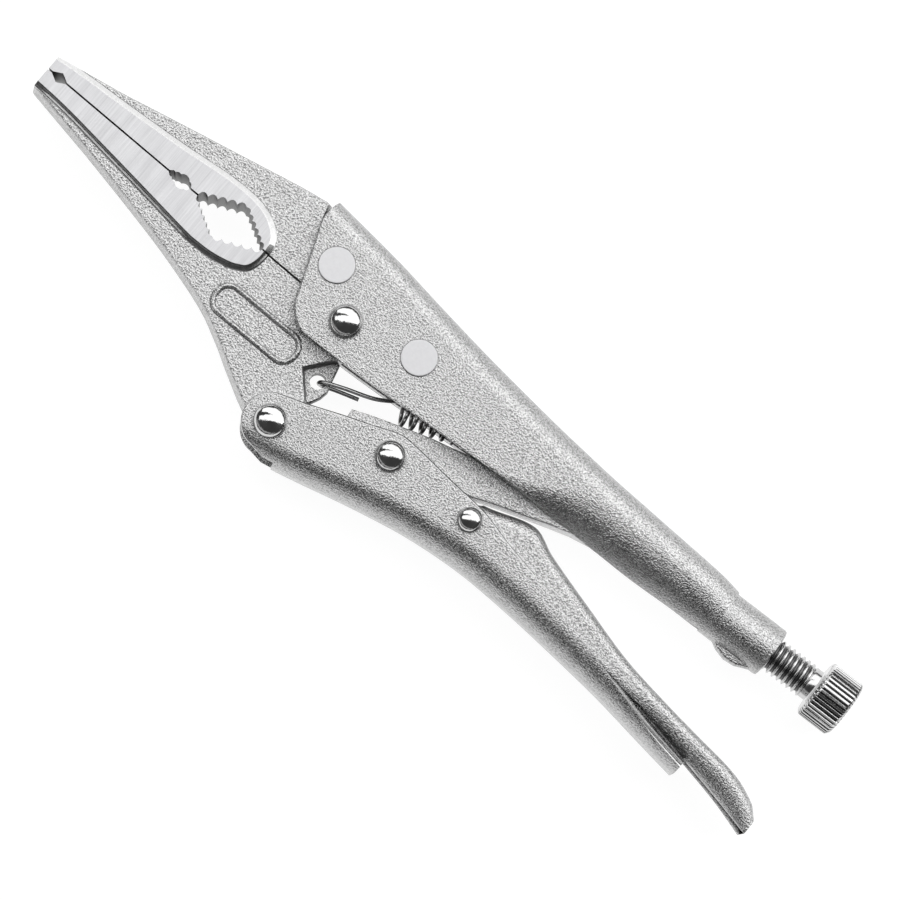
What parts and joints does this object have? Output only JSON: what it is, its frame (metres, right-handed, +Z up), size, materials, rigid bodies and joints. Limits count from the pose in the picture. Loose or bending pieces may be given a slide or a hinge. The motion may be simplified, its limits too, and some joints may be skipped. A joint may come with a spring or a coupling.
{
  "type": "locking pliers",
  "caption": "Long-nose locking pliers with toothed forged jaws, folded sheet handles, a toggle link, a release lever and a knurled adjusting screw.",
  "frame": {"origin": "centre of the tool's outline, at the level of the flat rivet tails that it lies on", "axes": "+X back along the tool to the adjusting screw, +Y towards the back of the fixed handle, +Z up through the tool's thickness"},
  "size_m": [0.1666, 0.0406, 0.0146],
  "materials": {
    "satin_nickel": "satin nickel plate over a fine pebbled sheet surface",
    "forged_steel": "satin nickel plate over forging grain, with finely ground jaw pads",
    "flush_rivet": "flat satin rivet face",
    "bright_nickel": "bright nickel plate",
    "spring_wire": "drawn spring wire"
  },
  "bodies": {
    "fixed_handle": {"fixed_handle": "satin_nickel", "upper_jaw": "forged_steel", "jaw_rivet_front": "flush_rivet", "jaw_rivet_rear": "flush_rivet", "jaw_pivot_pin": "bright_nickel", "spring_anchor": "spring_wire", "return_spring": "spring_wire"},
    "lower_jaw": {"lower_jaw": "forged_steel", "handle_pin": "bright_nickel"},
    "moving_handle": {"moving_handle": "satin_nickel", "link_pin": "bright_nickel", "lever_pin": "bright_nickel"},
    "toggle_link": {"toggle_link": "satin_nickel"},
    "release_lever": {"release_lever": "satin_nickel"},
    "adjusting_screw": {"adjusting_screw": "bright_nickel"},
    "screw_knob": {"screw_knob": "bright_nickel"}
  },
  "joints": [
    {"name": "jaw_open", "type": "hinge", "parent": "fixed_handle", "child": "lower_jaw", "pos_m": [-0.01953, 0.00533, 0.0069], "axis": [0, 0, 1], "range_deg": [0, 20], "deforming": ["return_spring"]},
    {"name": "handle_swing", "type": "hinge", "parent": "lower_jaw", "child": "moving_handle", "pos_m": [-0.01852, -0.01497, 0.0069], "axis": [0, 0, 1], "range_deg": [-64.1, 0]},
    {"name": "link_swing", "type": "hinge", "parent": "moving_handle", "child": "toggle_link", "pos_m": [-0.00003, -0.00702, 0.0069], "axis": [0, 0, 1], "range_deg": [0, 65.1]},
    {"name": "lever_squeeze", "type": "hinge", "parent": "moving_handle", "child": "release_lever", "pos_m": [0.01638, -0.00677, 0.0069], "axis": [0, 0, 1], "range_deg": [0, 4]},
    {"name": "screw_travel", "type": "slide", "parent": "fixed_handle", "child": "adjusting_screw", "axis": [0.9994, 0.0356, 0], "range_m": [0, 0.008]},
    {"name": "knob_turn", "type": "hinge", "parent": "adjusting_screw", "child": "screw_knob", "pos_m": [0.08007, 0.00895, 0.0069], "axis": [0.9994, 0.0356, 0], "range_deg": [0, 2900]}
  ],
  "couplings": [
    {"joint": "handle_swing", "follows": "jaw_open", "ratio": -3.2},
    {"joint": "link_swing", "follows": "jaw_open", "ratio": 3.25},
    {"joint": "knob_turn", "follows": "screw_travel", "rad_per_m": 6283.2}
  ]
}
